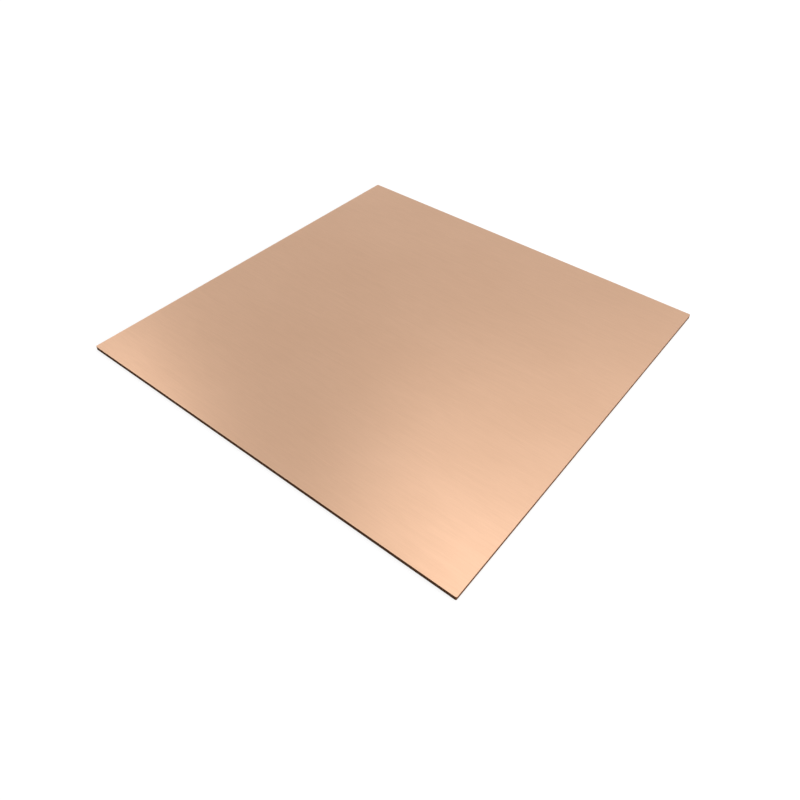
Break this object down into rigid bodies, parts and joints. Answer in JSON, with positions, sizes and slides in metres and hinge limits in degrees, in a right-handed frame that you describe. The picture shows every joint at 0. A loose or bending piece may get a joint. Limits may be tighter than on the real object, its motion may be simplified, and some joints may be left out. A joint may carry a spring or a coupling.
{
  "type": "copper clad board",
  "caption": "Square sheet of copper clad board: a thin, stiff brown laminate with copper foil bonded over its whole upper face, square cut and undrilled.",
  "frame": {"origin": "the middle of the underside, on the surface that the board lies on", "axes": "+Z out of the copper face; +X and +Y along the two cut edges"},
  "size_m": [0.15, 0.15, 0.0015],
  "materials": {
    "phenolic_brown": "satin",
    "copper": "satin"
  },
  "bodies": {
    "root": {"laminate_base": "phenolic_brown", "copper_foil": "copper"}
  },
  "joints": []
}
